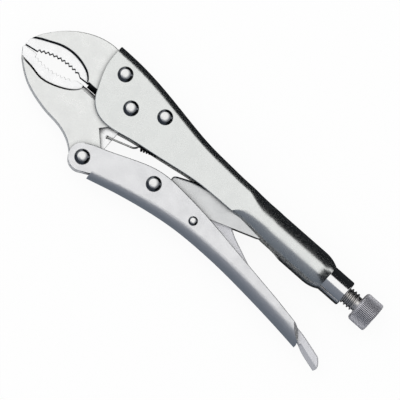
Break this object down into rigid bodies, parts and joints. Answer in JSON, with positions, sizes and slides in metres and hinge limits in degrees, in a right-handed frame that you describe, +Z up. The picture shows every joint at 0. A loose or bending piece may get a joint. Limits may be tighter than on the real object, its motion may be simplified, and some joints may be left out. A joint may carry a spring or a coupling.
{
  "type": "locking pliers",
  "caption": "Locking pliers with toothed curved jaws, a wire cutter, an over-centre toggle link, an adjusting screw and a release lever.",
  "frame": {"origin": "centre of the flat back head of the jaw pivot rivet, in the plane the pliers lie on", "axes": "+X along the adjusting screw from the jaws to the knob, +Y towards the back of the upper handle, +Z up from the surface the pliers lie on"},
  "size_m": [0.2484, 0.0695, 0.0204],
  "materials": {
    "sheet_nickel": "satin nickel plated sheet steel",
    "forged_nickel": "satin nickel plated forged steel, ground beside the teeth",
    "bright_turned": "bright plated turned steel",
    "screw_steel": "plated rolled thread",
    "knurled_steel": "matt plated, fine straight knurl",
    "spring_black": "blackened spring wire",
    "rivet_chrome": "bright plated domed heads"
  },
  "bodies": {
    "upper_handle": {"upper_handle": "sheet_nickel", "fixed_jaw": "forged_nickel", "threaded_bush": "bright_turned", "front_jaw_rivet": "rivet_chrome", "rear_jaw_rivet": "rivet_chrome", "jaw_pivot_rivet": "rivet_chrome", "jaw_spring": "spring_black"},
    "moving_jaw": {"moving_jaw": "forged_nickel"},
    "lower_handle": {"lower_handle": "sheet_nickel", "lever_pivot_rivet": "rivet_chrome", "link_pivot_rivet": "rivet_chrome", "release_pin": "rivet_chrome"},
    "toggle_link": {"toggle_link": "sheet_nickel"},
    "release_lever": {"release_lever": "sheet_nickel"},
    "adjusting_screw": {"adjusting_screw": "screw_steel"},
    "adjusting_knob": {"adjusting_knob": "knurled_steel"}
  },
  "joints": [
    {"name": "jaw_pivot", "type": "hinge", "parent": "upper_handle", "child": "moving_jaw", "pos_m": [0, 0, 0.0102], "axis": [0, 0, 1], "range_deg": [0, 24], "deforming": ["jaw_spring"]},
    {"name": "lever_pivot", "type": "hinge", "parent": "moving_jaw", "child": "lower_handle", "pos_m": [-0.0026, -0.0384, 0.0102], "axis": [0, 0, 1], "range_deg": [-64, 0]},
    {"name": "link_pivot", "type": "hinge", "parent": "lower_handle", "child": "toggle_link", "pos_m": [0.0374, -0.0234, 0.0102], "axis": [0, 0, 1], "range_deg": [0, 64]},
    {"name": "release_pivot", "type": "hinge", "parent": "lower_handle", "child": "release_lever", "pos_m": [0.0676, -0.0245, 0.0102], "axis": [0, 0, 1], "range_deg": [0, 7]},
    {"name": "screw_travel", "type": "slide", "parent": "upper_handle", "child": "adjusting_screw", "axis": [1, 0, 0], "range_m": [0, 0.021]},
    {"name": "knob_turn", "type": "hinge", "parent": "adjusting_screw", "child": "adjusting_knob", "pos_m": [0.174, 0.0019, 0.0102], "axis": [1, 0, 0], "range_deg": [0, 3605]}
  ],
  "couplings": [
    {"joint": "lever_pivot", "follows": "jaw_pivot", "ratio": -2.65},
    {"joint": "link_pivot", "follows": "jaw_pivot", "ratio": 2.65},
    {"joint": "knob_turn", "follows": "screw_travel", "rad_per_m": 2992}
  ]
}
